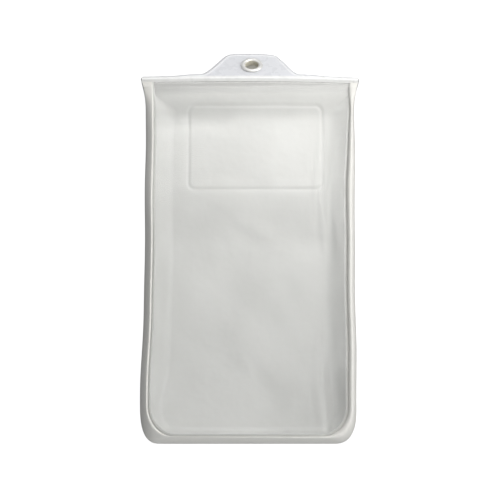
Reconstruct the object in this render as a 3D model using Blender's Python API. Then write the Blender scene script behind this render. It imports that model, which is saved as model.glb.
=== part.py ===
"""Waterproof phone case: a soft welded pouch with a padded rim, whose neck folds over behind it.

The case lies on its back with the clear window up: X runs across, Y towards the hang tab and Z up.
The clear window and the white rear panel are two long sheets. Both pass over the top fold and come
back underneath as the neck, where two press-to-close zips and a hook and loop patch keep it shut.
The origin is under the middle of the whole case, at the height of what it lies on.
"""

import math

import bmesh
import bpy
import numpy as np

LEFT = -1
RIGHT = 1

# The power at which a superellipse is a circle or an ellipse.
CIRCLE = 2.0

# Driving dimensions, in metres.
GAP = 0.0003

CASE_LENGTH = 0.1630
CASE_WIDTH = 0.0915
CASE_HEIGHT = 0.0150

WINDOW_THICKNESS = 0.0005
PANEL_THICKNESS = 0.0007
WINDOW_DROP = 0.0018
WINDOW_SAG = 0.0010
SAG_FULLNESS = 0.5

FOLD_HEIGHT = 0.0116
SHOULDER_RUN = 0.0242
CLIMB_RUN = 0.0132
NECK_INSET = 0.0008
NECK_RUN = 0.0120

EAR_FLARE = 0.0025
EAR_RUN = 0.0160
EAR_SHARPNESS = 2.0
HEEL_FLARE = {LEFT: 0.0016, RIGHT: 0.0002}
HEEL_RUN = 0.0640
HEEL_RISE = 0.0170
SEAM_CORNER = 0.0115
CORNER_SPREAD = {LEFT: 0.0078, RIGHT: 0.0090}
CORNER_POWER = 2.5

RIM_WIDTH = 0.0040
LEFT_SPREAD = 0.0017
RIGHT_PINCH = 0.0018
PINCH_SETBACK = 0.0170
PINCH_RUN = 0.0600
PINCH_CURVE = 1.5
RIM_STAND = 0.0014
RIM_TIP_STAND = 0.0006
RIM_FULLNESS = 2.6
RIM_FOOT_ANGLE = math.radians(-67.5)
RIM_WELD_ANGLE = math.radians(135)
LEDGE_WIDTH = 0.0026
SLOPE_WIDTH = 0.0047
SLOPE_WIDTH_AT_FOLD = 0.0078
SLOPE_WIDTH_AT_HEEL = 0.0030
SLOPE_EDGE = 0.0003
SLOPE_FADE = 0.0045
SLOPE_CURVE = 1.9
LEAST_LEDGE = 0.02
RIM_OVERHANG = 0.0010

RAMP_RUN = 0.0290
HOOK_THICKNESS = 0.0011
LOOP_THICKNESS = 0.0014
PATCH_WIDTH = 0.0520
HOOK_INSET = 0.0007
LOOP_LENGTH = 0.0160
PATCH_MARGIN = 0.0018
PATCH_CORNER = 0.0020

ZIP_SPACING = 0.0080
ZIP_SETBACK = 0.0077
ZIP_TO_PATCH = 0.0011
SIDE_WELD_WIDTH = 0.00375
ZIP_BASE = 0.00035
ZIP_BASE_WIDTH = 0.0032
ZIP_STEM_WIDTH = 0.0005
ZIP_HEAD_WIDTH = 0.0011
ZIP_HEAD_HEIGHT = 0.0004
ZIP_HOOK_HEIGHT = 0.00025
ZIP_JAW = 0.0006

STRIP_THICKNESS = 0.0010
STRIP_SLOPE = math.radians(37)
STRIP_LAND = math.radians(13)
STRIP_INSET = 0.00075
STRIP_EDGE = 0.0004
STRIP_LIP = 0.0016
TAB_LENGTH = 0.0168
TAB_TOP_WIDTH = 0.0170
TAB_FLANK = 0.0135

EYELET_X = 0.0008
EYELET_SETBACK = 0.0078
EYELET_BORE = 0.0059
EYELET_WALL = 0.00035
EYELET_FLANGE = 0.0096
EYELET_CROWN = 0.0007
EYELET_ROLL = 0.0078
EYELET_ROLL_HEIGHT = 0.00035
WASHER_DIAMETER = 0.0098
WASHER_THICKNESS = 0.0003

WELD_LINE_X = 0.0023
WELD_LINE_CLEARANCE = 0.0033
WELD_LINE_SETBACK = 0.0133
WELD_LINE_MARGIN = 0.0035
WELD_LINE_CORNER = 0.0030
WELD_GROOVE_WIDTH = 0.0011
WELD_GROOVE_DEPTH = 0.00035

# Places worked out from the driving dimensions.
FOLD_RADIUS = FOLD_HEIGHT / 2
FOLD_INNER_RADIUS = FOLD_RADIUS - WINDOW_THICKNESS - GAP
STRIP_RADIUS = FOLD_RADIUS + GAP
RIM_TIP = STRIP_SLOPE - STRIP_LAND - GAP / STRIP_RADIUS
TAB_REACH = (
    (STRIP_RADIUS + STRIP_THICKNESS) * math.sin(STRIP_SLOPE)
    + TAB_LENGTH * math.cos(STRIP_SLOPE)
    - FOLD_RADIUS
)
Y_TOP = (CASE_LENGTH - TAB_REACH) / 2
Y_BOTTOM = Y_TOP - CASE_LENGTH
FOLD_Y = Y_TOP - FOLD_RADIUS
ZIP_ZONE = FOLD_RADIUS + ZIP_SETBACK + ZIP_SPACING + 2 * ZIP_BASE_WIDTH
MOUTH_Y = Y_TOP - ZIP_ZONE - ZIP_TO_PATCH - LOOP_LENGTH
MOUTH_WIDTH = CASE_WIDTH - 2 * NECK_INSET
HOOK_LENGTH = LOOP_LENGTH - PATCH_MARGIN - HOOK_INSET
PLY_Z = WINDOW_THICKNESS + GAP
HOOK_Z = PLY_Z + PANEL_THICKNESS + GAP
LOOP_Z = HOOK_Z + HOOK_THICKNESS + GAP
RAISED_Z = LOOP_Z + LOOP_THICKNESS + GAP
CLIMB_Y = FOLD_Y - CLIMB_RUN
RAMP_TOP_Y = MOUTH_Y - GAP - PATCH_MARGIN
RAMP_FOOT_Y = RAMP_TOP_Y - RAMP_RUN
SEAM_BOTTOM_Y = Y_BOTTOM + RIM_WIDTH
CORNER_Y = SEAM_BOTTOM_Y + SEAM_CORNER
PINCH_Y = Y_TOP - PINCH_SETBACK
RIM_TOP_Y = FOLD_Y - GAP
STRIP_WIDTH = CASE_WIDTH + 2 * EAR_FLARE - 2 * STRIP_INSET
WELD_LINE_WIDTH = PATCH_WIDTH + 2 * WELD_LINE_CLEARANCE
ZIP_LENGTH = MOUTH_WIDTH - 2 * SIDE_WELD_WIDTH
ZIP_END = ZIP_LENGTH / MOUTH_WIDTH

# How finely each curved form is divided.
FOLD_STEPS = 10
CORNER_STEPS = 6
SHEET_COLUMNS = 10
EDGE_COLUMNS = 3
RIM_TIP_STEPS = 4
RIM_BULGE_STEPS = 9
SLOPE_STEPS = 3
FLAT_ROWS = 4
HEEL_ROWS = 3
BEND_ROWS = 8
GROOVE_SIDES = 8
GROOVE_CORNER_STEPS = 4
GROOVE_ROWS = 16
TAB_ROWS = 5
TAB_FLANK_STEPS = 10
TAB_TOP_STEPS = 3
LAND_STEPS = 3
TURN_STEPS = 28
CROWN_STEPS = 7
ROLL_STEPS = 3
PATCH_CORNER_STEPS = 4


def ease(t):
    """A smooth step that leaves 0 and reaches 1 with no slope."""
    t = np.clip(t, 0.0, 1.0)
    return t * t * (3.0 - 2.0 * t)


def blend(start, end, t):
    return start + (end - start) * t


def panel_under(y):
    """Height of the rear panel's underside: flat, up the ramp over the neck, and up into the fold."""
    ramp = RAISED_Z * ease((y - RAMP_FOOT_Y) / RAMP_RUN)
    crest = FOLD_RADIUS + FOLD_INNER_RADIUS - PANEL_THICKNESS
    return ramp + (crest - RAISED_Z) * ease((y - CLIMB_Y) / CLIMB_RUN)


def panel_top(y):
    return panel_under(y) + PANEL_THICKNESS


def window_top(y):
    """Height of the window's upper face at its edge, coming down to the crest of the fold."""
    down = ease((y - (FOLD_Y - SHOULDER_RUN)) / SHOULDER_RUN)
    return blend(CASE_HEIGHT - WINDOW_DROP, FOLD_HEIGHT, down)


def rim_crest(y):
    down = ease((y - (FOLD_Y - SHOULDER_RUN)) / SHOULDER_RUN)
    return blend(CASE_HEIGHT, FOLD_HEIGHT + RIM_STAND, down)


def columns():
    """Places across a sheet, from -1 to 1: even between the side welds, closer on them."""
    inside = np.linspace(-ZIP_END, ZIP_END, SHEET_COLUMNS + 1)
    edge = np.linspace(ZIP_END, 1.0, EDGE_COLUMNS + 1)[1:]
    return np.concatenate([-edge[::-1], inside, edge])


def ear(y):
    """0 along the body, growing to 1 at the outside of the fold."""
    return np.clip((y - (Y_TOP - EAR_RUN)) / EAR_RUN, 0.0, 1.0) ** EAR_SHARPNESS


def rim_edge(y, side):
    """Distance from the centre line to the rim's outer edge, with its flared ear and heel."""
    heel = HEEL_FLARE[side] * ease((Y_BOTTOM + HEEL_RISE + HEEL_RUN - y) / HEEL_RUN)
    return CASE_WIDTH / 2 + EAR_FLARE * ear(y) + heel


def rim_width(y, side):
    """The left rim spreads towards its flattened end, and the right one is pinched below its ear."""
    if side == LEFT:
        return RIM_WIDTH + LEFT_SPREAD * ear(y)
    tightening = np.clip((y - PINCH_Y + PINCH_RUN) / PINCH_RUN, 0.0, 1.0) ** PINCH_CURVE
    easing_off = ease((y - PINCH_Y) / (Y_TOP - PINCH_Y))
    return RIM_WIDTH - RIGHT_PINCH * tightening * (1.0 - easing_off)


def seam_edge(y, side):
    """Distance from the centre line to the weld between the rim and the window."""
    return rim_edge(y, side) - rim_width(y, side)


def rounded_edge(edge, y, bottom, spread, power):
    """Pulls an edge in by up to the spread below CORNER_Y, along a quarter of a superellipse."""
    fall = np.clip((CORNER_Y - y) / (CORNER_Y - bottom), 0.0, 1.0)
    return edge - spread * (1.0 - (1.0 - fall**power) ** (1.0 / power))


def corner_rows(bottom, power):
    """Rows from the bottom to CORNER_Y, spaced by equal angles of the superellipse."""
    angle = np.linspace(0.0, math.pi / 2, CORNER_STEPS + 1)
    return CORNER_Y - (CORNER_Y - bottom) * np.cos(angle) ** (2.0 / power)


def body_rows(first):
    """Rows from the end of the bottom corner to the crest of the fold, closest where the sheets bend."""
    body = np.linspace(first, RAMP_FOOT_Y, FLAT_ROWS + 1)
    ramp = np.linspace(RAMP_FOOT_Y, RAMP_TOP_Y, BEND_ROWS + 1)
    level = np.linspace(RAMP_TOP_Y, CLIMB_Y, FLAT_ROWS + 1)
    climb = np.linspace(CLIMB_Y, FOLD_Y, BEND_ROWS + 1)
    return np.concatenate([body[1:], ramp[1:], level[1:], climb[1:]])


def material(name, colour, roughness, metallic=0.0, alpha=1.0):
    made = bpy.data.materials.new(name)
    made.use_nodes = True
    shader = made.node_tree.nodes["Principled BSDF"]
    shader.inputs["Base Color"].default_value = (*colour, 1.0)
    shader.inputs["Roughness"].default_value = roughness
    shader.inputs["Metallic"].default_value = metallic
    shader.inputs["Alpha"].default_value = alpha
    made.diffuse_color = (*colour, alpha)
    return made


def add_object(name, points, faces, finish):
    """Makes an object of these points and faces, with its faces turned outwards."""
    mesh = bpy.data.meshes.new(name)
    mesh.from_pydata([tuple(point) for point in points], [], faces)
    shape = bmesh.new()
    shape.from_mesh(mesh)
    bmesh.ops.recalc_face_normals(shape, faces=shape.faces)
    shape.to_mesh(mesh)
    shape.free()
    mesh.shade_smooth()
    mesh.set_sharp_from_angle(angle=math.radians(35))
    mesh.materials.append(finish)
    made = bpy.data.objects.new(name, mesh)
    bpy.context.scene.collection.objects.link(made)
    return made


def loft(name, rings, finish, closed=False):
    """Joins rings of equal point counts into one skin, capped at both ends or closed into a loop."""
    count, size = rings.shape[:2]
    faces = []
    for ring in range(count if closed else count - 1):
        following = (ring + 1) % count
        for point in range(size):
            beside = (point + 1) % size
            faces.append(
                (
                    ring * size + point,
                    ring * size + beside,
                    following * size + beside,
                    following * size + point,
                )
            )
    if not closed:
        faces.append(tuple(range(size)))
        faces.append(tuple((count - 1) * size + point for point in range(size)))
    return add_object(name, rings.reshape(-1, 3), faces, finish)


def sheet(name, y, z, left, right, thickness, drop, finish):
    """A sheet that follows the line (y, z) and reaches left and right of the centre line.

    The drop lowers each point of the grid from that line. Each row becomes a flat ring: across the
    upper face one way and back along the lower face.
    """
    slope = np.stack([np.gradient(y), np.gradient(z)])
    normal = np.stack([-slope[1], slope[0]]) / np.hypot(*slope) * thickness / 2
    across = columns()
    x = np.where(across < 0, np.outer(left, across), np.outer(right, across))
    faces = []
    for offset in (normal, -normal):
        face_y = np.broadcast_to((y + offset[0])[:, None], x.shape)
        faces.append(np.stack([x, face_y, (z + offset[1])[:, None] - drop], 2))
    return loft(name, np.concatenate([faces[0], faces[1][:, ::-1]], axis=1), finish)


def over_the_fold(front_y, front_z, radius, back_y, back_z):
    """A line over the front, round the fold at this radius, and back along the neck to the mouth."""
    angle = np.append(GAP / radius, np.linspace(0.0, math.pi, FOLD_STEPS + 1)[1:])
    y = np.concatenate([front_y, FOLD_Y + radius * np.sin(angle), back_y])
    z = np.concatenate([front_z, FOLD_RADIUS + radius * np.cos(angle), back_z])
    return y, z


def neck_half(y, rows_behind, side):
    """Half width of the neck: it follows the ear over the fold and back, then tucks in behind the rim."""
    half = rim_edge(y, side)
    half[-rows_behind:] -= NECK_INSET * ease((FOLD_Y - y[-rows_behind:]) / NECK_RUN)
    return half


def front_window(finish):
    """The clear sheet: it lies on the rim's ledge, goes over the fold and is the neck's outer ply."""
    bottom = SEAM_BOTTOM_Y + GAP
    corner = corner_rows(bottom, CIRCLE)
    front_y = np.concatenate([corner, body_rows(corner[-1])])
    front_z = window_top(front_y) - WINDOW_THICKNESS / 2
    tucked_y = FOLD_Y - NECK_RUN
    tucking = np.linspace(FOLD_Y, tucked_y, FLAT_ROWS + 1)[1:]
    back_y = np.append(tucking, [(tucked_y + MOUTH_Y) / 2, MOUTH_Y])
    back_z = np.full(len(back_y), WINDOW_THICKNESS / 2)
    y, z = over_the_fold(front_y, front_z, FOLD_RADIUS - WINDOW_THICKNESS / 2, back_y, back_z)
    front = len(front_y)
    half = {}
    for side in (LEFT, RIGHT):
        inside = rounded_edge(seam_edge(front_y, side) - GAP, front_y, bottom, SEAM_CORNER - GAP, CIRCLE)
        half[side] = np.concatenate([inside, neck_half(y, len(back_y), side)[front:]])
    sag = np.zeros(len(y))
    length = FOLD_Y - SHOULDER_RUN - bottom
    along = np.clip((front_y - bottom) / length, 0.0, 1.0)
    sag[:front] = WINDOW_SAG * np.sin(math.pi * along) ** SAG_FULLNESS
    drop = np.outer(sag, 1.0 - columns() ** 2)
    return sheet("front_window", y, z, half[LEFT], half[RIGHT], WINDOW_THICKNESS, drop, finish)


def ply_rise():
    """How far the neck's inner ply stands up over the closed zips."""
    return zip_channel_top() + GAP - PLY_Z


def zip_head_foot():
    return PLY_Z + ZIP_BASE + GAP + ZIP_HOOK_HEIGHT + GAP


def zip_channel_roof():
    return zip_head_foot() + ZIP_HEAD_HEIGHT + GAP


def zip_channel_top():
    return zip_channel_roof() + ZIP_BASE


def zip_lines():
    """Distance from the outside of the fold to the middle of each zip."""
    first = FOLD_RADIUS + ZIP_SETBACK
    return {"inner": first, "outer": first + ZIP_SPACING}


def ply_height(y):
    """Underside of the neck's inner ply: low at the fold, up over the zips, low again at the mouth."""
    lines = zip_lines()
    rise_end = Y_TOP - lines["inner"] + ZIP_BASE_WIDTH
    fall_start = Y_TOP - lines["outer"] - ZIP_BASE_WIDTH
    up = ease((FOLD_Y - y) / (FOLD_Y - rise_end))
    down = ease((fall_start - y) / ZIP_BASE_WIDTH)
    return PLY_Z + ply_rise() * (up - down)


def rear_panel(finish):
    """The white sheet: flat at the heel, up over the folded neck, round the fold and back to the mouth.

    Its neck ply stands over the closed zips, and is pinched down to the window's ply along both sides.
    """
    bottom = Y_BOTTOM + RIM_OVERHANG
    corner = corner_rows(bottom, CORNER_POWER)
    front_y = np.concatenate([corner, body_rows(corner[-1])])
    front_z = panel_under(front_y) + PANEL_THICKNESS / 2
    lines = zip_lines()
    rise_end = Y_TOP - lines["inner"] + ZIP_BASE_WIDTH
    fall_start = Y_TOP - lines["outer"] - ZIP_BASE_WIDTH
    back_y = np.concatenate(
        [
            np.linspace(FOLD_Y, rise_end, FLAT_ROWS + 1)[1:],
            np.linspace(rise_end, fall_start, FLAT_ROWS // 2 + 1)[1:],
            np.linspace(fall_start, fall_start - ZIP_BASE_WIDTH, FLAT_ROWS + 1)[1:],
            [MOUTH_Y],
        ]
    )
    back_z = ply_height(back_y) + PANEL_THICKNESS / 2
    y, z = over_the_fold(front_y, front_z, FOLD_INNER_RADIUS - PANEL_THICKNESS / 2, back_y, back_z)
    front = len(front_y)
    half = {}
    for side in (LEFT, RIGHT):
        spread = CORNER_SPREAD[side] - RIM_OVERHANG
        inset = RIM_OVERHANG * (1.0 - ear(front_y))
        body = rounded_edge(rim_edge(front_y, side) - inset, front_y, bottom, spread, CORNER_POWER)
        half[side] = np.concatenate([body, neck_half(y, len(back_y), side)[front:]])
    rise = np.zeros(len(y))
    rise[-len(back_y) :] = ply_height(back_y) - PLY_Z
    pinch = ease((np.abs(columns()) - ZIP_END) / (1.0 - ZIP_END))
    drop = np.outer(rise, pinch)
    panel = sheet("rear_panel", y, z, half[LEFT], half[RIGHT], PANEL_THICKNESS, drop, finish)
    press_weld_line(panel)
    return panel


def press_weld_line(panel):
    """Presses the rounded rectangular weld line of the loop patch into the front of the panel."""
    groove_radius = (WELD_GROOVE_WIDTH**2 / 4 + WELD_GROOVE_DEPTH**2) / (2 * WELD_GROOVE_DEPTH)
    high = Y_TOP - WELD_LINE_SETBACK
    low = RAMP_TOP_Y - WELD_LINE_MARGIN
    middle = (high + low) / 2
    half_x = WELD_LINE_WIDTH / 2 - WELD_LINE_CORNER
    half_y = (high - low) / 2 - WELD_LINE_CORNER
    outline = []
    for quarter, (sign_x, sign_y) in enumerate([(1, 1), (-1, 1), (-1, -1), (1, -1)]):
        for angle in np.linspace(quarter, quarter + 1, GROOVE_CORNER_STEPS + 1) * math.pi / 2:
            x = WELD_LINE_X + sign_x * half_x + WELD_LINE_CORNER * math.cos(angle)
            y = middle + sign_y * half_y + WELD_LINE_CORNER * math.sin(angle)
            outline.append((x, y, math.cos(angle), math.sin(angle)))
    outline = finer(np.array(outline), (high - low) / GROOVE_ROWS)
    turn = np.arange(GROOVE_SIDES) * 2 * math.pi / GROOVE_SIDES
    out = groove_radius * np.cos(turn)
    x = outline[:, 0, None] + outline[:, 2, None] * out
    y = outline[:, 1, None] + outline[:, 3, None] * out
    axis = panel_top(outline[:, 1, None]) + groove_radius - WELD_GROOVE_DEPTH
    z = axis + groove_radius * np.sin(turn)
    cutter = loft("weld_line_cutter", np.stack([x, y, z], 2), panel.data.materials[0], closed=True)
    cutter.hide_render = True
    cutter.display_type = "WIRE"
    cut = panel.modifiers.new("weld line", "BOOLEAN")
    cut.operation = "DIFFERENCE"
    cut.solver = "EXACT"
    cut.object = cutter


def finer(loop, step):
    """Adds rows to a closed loop so that neighbours are at most one step apart."""
    rows = []
    for here, there in zip(loop, np.roll(loop, -1, axis=0)):
        pieces = max(1, math.ceil(np.hypot(*(there - here)[:2]) / step))
        for piece in range(pieces):
            rows.append(blend(here, there, piece / pieces))
    return np.array(rows)


def rim_section(width, crest, under, ledge, slope):
    """The rim's section as (distance outwards from the seam, height), from its foot outside and over.

    Inside the weld come the ledge under the window and the slope, which falls steeply and flattens
    out on the panel. Both run out where the panel comes up to the window.
    """
    angle = np.linspace(RIM_FOOT_ANGLE, RIM_WELD_ANGLE, RIM_BULGE_STEPS + 1)
    power = 2.0 / RIM_FULLNESS
    out = width / 2 * (1.0 + np.sign(np.cos(angle)) * np.abs(np.cos(angle)) ** power)
    middle = (crest + under) / 2
    up = middle + (crest - under) / 2 * np.sign(np.sin(angle)) * np.abs(np.sin(angle)) ** power
    foot = under + SLOPE_EDGE
    fade = np.clip((ledge - foot) / SLOPE_FADE, LEAST_LEDGE, 1.0)
    ledge = max(ledge, foot)
    shelf = fade * LEDGE_WIDTH
    reach = shelf + fade * slope
    inner = [(0.0, ledge), (-shelf, ledge)]
    for share in np.linspace(0.0, 1.0, SLOPE_STEPS + 1)[1:]:
        fall = 1.0 - (1.0 - share) ** SLOPE_CURVE
        inner.append((-blend(shelf, reach, share), blend(ledge, foot, fall)))
    inner += [(-reach, under), (width / 2, under)]
    return np.concatenate([np.stack([out, up], 1), inner])


def side_bolster(finish):
    """The padded rim, swept down the left side, round the heel and up the right side.

    In the corners it widens, between the weld's quarter circle and the fuller outline. Each end tapers
    out over the crest of the fold, on top of the neck.
    """
    heel_z = float(panel_top(Y_BOTTOM)) + GAP
    heel_ledge = CASE_HEIGHT - WINDOW_DROP - WINDOW_THICKNESS - GAP
    rings = []

    def add_leg(side, heights):
        for y in heights:
            near_fold = ease((y - (FOLD_Y - SHOULDER_RUN)) / SHOULDER_RUN)
            near_heel = ease((Y_BOTTOM + 2 * HEEL_RISE - y) / HEEL_RISE)
            slope = blend(SLOPE_WIDTH, SLOPE_WIDTH_AT_FOLD, near_fold)
            slope = blend(slope, SLOPE_WIDTH_AT_HEEL, near_heel)
            ledge = window_top(y) - WINDOW_THICKNESS - GAP
            under = panel_top(y) + GAP
            section = rim_section(rim_width(y, side), rim_crest(y), under, ledge, slope)
            x = side * (seam_edge(y, side) + section[:, 0])
            rings.append(np.stack([x, np.full(len(x), y), section[:, 1]], 1))

    def add_corner(side, angles):
        section = rim_section(RIM_WIDTH, CASE_HEIGHT, heel_z, heel_ledge, SLOPE_WIDTH_AT_HEEL)
        share = np.maximum(section[:, 0], 0.0) / RIM_WIDTH
        inwards = np.minimum(section[:, 0], 0.0)
        for angle in angles:
            across, along = math.cos(angle), math.sin(angle)
            weld_x = seam_edge(CORNER_Y, side) - SEAM_CORNER * (1.0 - across)
            weld_y = CORNER_Y - SEAM_CORNER * along
            edge_x = rim_edge(CORNER_Y, side) - CORNER_SPREAD[side] * (1.0 - across ** (2.0 / CORNER_POWER))
            edge_y = CORNER_Y - (CORNER_Y - Y_BOTTOM) * along ** (2.0 / CORNER_POWER)
            x = side * (blend(weld_x, edge_x, share) + inwards * across)
            y = blend(weld_y, edge_y, share) - inwards * along
            rings.append(np.stack([x, y, section[:, 1]], 1))

    def add_tip(side, angles):
        for angle in angles:
            stand = blend(RIM_STAND - GAP, RIM_TIP_STAND, angle / RIM_TIP)
            y = FOLD_Y + STRIP_RADIUS * math.sin(angle)
            section = rim_section(rim_width(y, side), STRIP_RADIUS + stand, STRIP_RADIUS, 0.0, 0.0)
            x = side * (seam_edge(y, side) + section[:, 0])
            radius = section[:, 1]
            y = FOLD_Y + radius * math.sin(angle)
            rings.append(np.stack([x, y, FOLD_RADIUS + radius * math.cos(angle)], 1))

    leg = {}
    tip = np.linspace(0.0, RIM_TIP, RIM_TIP_STEPS + 1)
    for side in (LEFT, RIGHT):
        heel_rows = np.linspace(CORNER_Y, CORNER_Y + HEEL_RISE, HEEL_ROWS + 1)
        rows = np.append(heel_rows[:-1], body_rows(heel_rows[-1]))
        leg[side] = np.append(rows[1:-1], RIM_TOP_Y)
    turn = np.linspace(0.0, math.pi / 2, 2 * CORNER_STEPS + 1)
    add_tip(LEFT, tip[::-1])
    add_leg(LEFT, leg[LEFT][::-1])
    add_corner(LEFT, turn)
    add_corner(RIGHT, turn[::-1])
    add_leg(RIGHT, leg[RIGHT])
    add_tip(RIGHT, tip)
    return loft("side_bolster", np.array(rings), finish)


def extruded(name, profile, length, finish):
    """A straight bar along X with this (y, z) profile."""
    profile = np.array(profile)
    rings = [
        np.column_stack([np.full(len(profile), x), profile])
        for x in (-length / 2, length / 2)
    ]
    return loft(name, np.array(rings), finish)


def zip_pair(name, setback, finish):
    """One press-to-close zip: an arrow rib on the window ply, caught by a hooked channel."""
    middle = Y_TOP - setback
    base = ZIP_BASE_WIDTH / 2
    stem = ZIP_STEM_WIDTH / 2
    head = ZIP_HEAD_WIDTH / 2
    foot = PLY_Z + ZIP_BASE
    head_foot = zip_head_foot()
    head_top = head_foot + ZIP_HEAD_HEIGHT
    rib = [
        (-base, PLY_Z),
        (base, PLY_Z),
        (base, foot),
        (stem, foot),
        (stem, head_foot),
        (head, head_foot),
        (stem, head_top),
        (-stem, head_top),
        (-head, head_foot),
        (-stem, head_foot),
        (-stem, foot),
        (-base, foot),
    ]
    mouth = stem + GAP
    room = head + GAP
    jaw = room + ZIP_JAW
    jaw_foot = foot + GAP
    hook_top = jaw_foot + ZIP_HOOK_HEIGHT
    roof = zip_channel_roof()
    top = zip_channel_top()
    channel = [
        (-base, top),
        (-base, roof),
        (-jaw, roof),
        (-jaw, jaw_foot),
        (-mouth, jaw_foot),
        (-mouth, hook_top),
        (-room, hook_top),
        (-room, roof),
        (room, roof),
        (room, hook_top),
        (mouth, hook_top),
        (mouth, jaw_foot),
        (jaw, jaw_foot),
        (jaw, roof),
        (base, roof),
        (base, top),
    ]
    for part, profile in (("rib", rib), ("channel", channel)):
        placed = [(middle + y, z) for y, z in profile]
        extruded(f"zip_{name}_{part}", placed, ZIP_LENGTH, finish)


def patch(name, length, thickness, end_y, z, finish):
    """A rectangle of tape with rounded corners, its mouth end at end_y."""
    shape = bmesh.new()
    bmesh.ops.create_cube(shape, size=1.0)
    bmesh.ops.scale(shape, vec=(PATCH_WIDTH, length, thickness), verts=shape.verts)
    upright = [edge for edge in shape.edges if abs(edge.verts[0].co.z - edge.verts[1].co.z) > thickness / 2]
    bmesh.ops.bevel(
        shape, geom=upright, offset=PATCH_CORNER, segments=PATCH_CORNER_STEPS, profile=0.5, affect="EDGES"
    )
    mesh = bpy.data.meshes.new(name)
    shape.to_mesh(mesh)
    shape.free()
    mesh.materials.append(finish)
    made = bpy.data.objects.new(name, mesh)
    made.location = (0.0, end_y + length / 2, z + thickness / 2)
    bpy.context.scene.collection.objects.link(made)
    return made


def strip_point(along, out):
    """A point of the hang strip: along it from where it leaves the fold, and out from its inner face.

    Before that line the strip follows the fold as its welded land. After it the strip runs straight.
    """
    land = np.minimum(along, 0.0) / STRIP_RADIUS
    straight = np.maximum(along, 0.0)
    angle = STRIP_SLOPE + land
    radius = STRIP_RADIUS + out
    y = FOLD_Y + radius * np.sin(angle) + straight * math.cos(STRIP_SLOPE)
    z = FOLD_RADIUS + radius * np.cos(angle) - straight * math.sin(STRIP_SLOPE)
    return y, z


def hang_strip(finish):
    """The strip welded along the fold: a narrow lip, rising in the middle to the rounded hang tab.

    Its welded land thins out towards the window.
    """
    half = STRIP_WIDTH / 2
    flat = TAB_TOP_WIDTH / 2
    top = np.linspace(0.0, flat, TAB_TOP_STEPS + 1)
    flank = np.linspace(flat, flat + TAB_FLANK, TAB_FLANK_STEPS + 1)
    side = np.concatenate([top, flank[1:], [half]])
    x = np.concatenate([-side[:0:-1], side])
    tab = 1.0 - ease((np.abs(x) - flat) / TAB_FLANK)
    reach = blend(STRIP_LIP, TAB_LENGTH, tab)
    land = -STRIP_LAND * STRIP_RADIUS
    rows = np.linspace(0.0, 1.0, TAB_ROWS + 1)
    rings = []
    for column, length in zip(x, reach):
        along = np.concatenate([np.linspace(land, 0.0, LAND_STEPS + 1)[:-1], rows * length])
        thickness = blend(STRIP_EDGE, STRIP_THICKNESS, ease(1.0 - along / land))
        inner = np.stack(strip_point(along, 0.0), 1)
        outer = np.stack(strip_point(along, thickness), 1)
        ring = np.concatenate([inner, outer[::-1]])
        rings.append(np.column_stack([np.full(len(ring), column), ring]))
    strip = loft("hang_strip", np.array(rings), finish)
    eyelet = eyelet_frame()
    bpy.ops.mesh.primitive_cylinder_add(
        vertices=TURN_STEPS,
        radius=EYELET_BORE / 2 + EYELET_WALL + GAP,
        depth=6 * STRIP_THICKNESS,
        location=eyelet.location,
        rotation=eyelet.rotation_euler,
    )
    cutter = bpy.context.object
    cutter.name = "eyelet_cutter"
    cutter.hide_render = True
    cutter.display_type = "WIRE"
    cut = strip.modifiers.new("eyelet hole", "BOOLEAN")
    cut.operation = "DIFFERENCE"
    cut.solver = "EXACT"
    cut.object = cutter
    return strip


def eyelet_frame():
    """An empty in the middle of the strip's thickness, whose Z is the eyelet's axis."""
    if "eyelet_frame" in bpy.data.objects:
        return bpy.data.objects["eyelet_frame"]
    empty = bpy.data.objects.new("eyelet_frame", None)
    y, z = strip_point(EYELET_SETBACK, STRIP_THICKNESS / 2)
    empty.location = (EYELET_X, y, z)
    empty.rotation_euler = (-STRIP_SLOPE, 0.0, 0.0)
    bpy.context.scene.collection.objects.link(empty)
    return empty


def turned(name, profile, finish):
    """Turns a closed (radius, height) profile about the eyelet's axis."""
    profile = np.array(profile)
    turn = np.arange(TURN_STEPS) * 2 * math.pi / TURN_STEPS
    x = np.outer(np.cos(turn), profile[:, 0])
    y = np.outer(np.sin(turn), profile[:, 0])
    z = np.broadcast_to(profile[:, 1], x.shape)
    made = loft(name, np.stack([x, y, z], 2), finish, closed=True)
    made.parent = eyelet_frame()
    return made


def eyelet(finish):
    """The flanged barrel goes through the tab, and its end is rolled out over a washer behind it.

    The flange is half an ellipse in section, flat at its crown. The roll's edge is a quarter circle.
    """
    face = STRIP_THICKNESS / 2
    bore = EYELET_BORE / 2
    outside = bore + EYELET_WALL
    flange = EYELET_FLANGE / 2
    flange_foot = face + GAP
    washer_top = -face - GAP
    washer_foot = washer_top - WASHER_THICKNESS
    roll_top = washer_foot - GAP
    roll_foot = roll_top - EYELET_ROLL_HEIGHT
    roll = EYELET_ROLL / 2
    middle = (bore + flange) / 2
    half = (flange - bore) / 2
    barrel = [(bore, roll_foot + EYELET_WALL)]
    for angle in np.linspace(math.pi, 0.0, CROWN_STEPS + 1):
        barrel.append((middle + half * math.cos(angle), flange_foot + EYELET_CROWN * math.sin(angle)))
    barrel += [(outside, flange_foot), (outside, roll_top)]
    for angle in np.linspace(0.0, math.pi / 2, ROLL_STEPS + 1):
        reach = roll - EYELET_ROLL_HEIGHT * (1.0 - math.cos(angle))
        barrel.append((reach, roll_top - EYELET_ROLL_HEIGHT * math.sin(angle)))
    barrel.append((outside, roll_foot))
    turned("eyelet_barrel", barrel, finish)
    washer_bore = outside + GAP
    rim = WASHER_DIAMETER / 2
    washer = [(washer_bore, washer_foot), (washer_bore, washer_top), (rim, washer_top), (rim, washer_foot)]
    turned("eyelet_washer", washer, finish)


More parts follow.
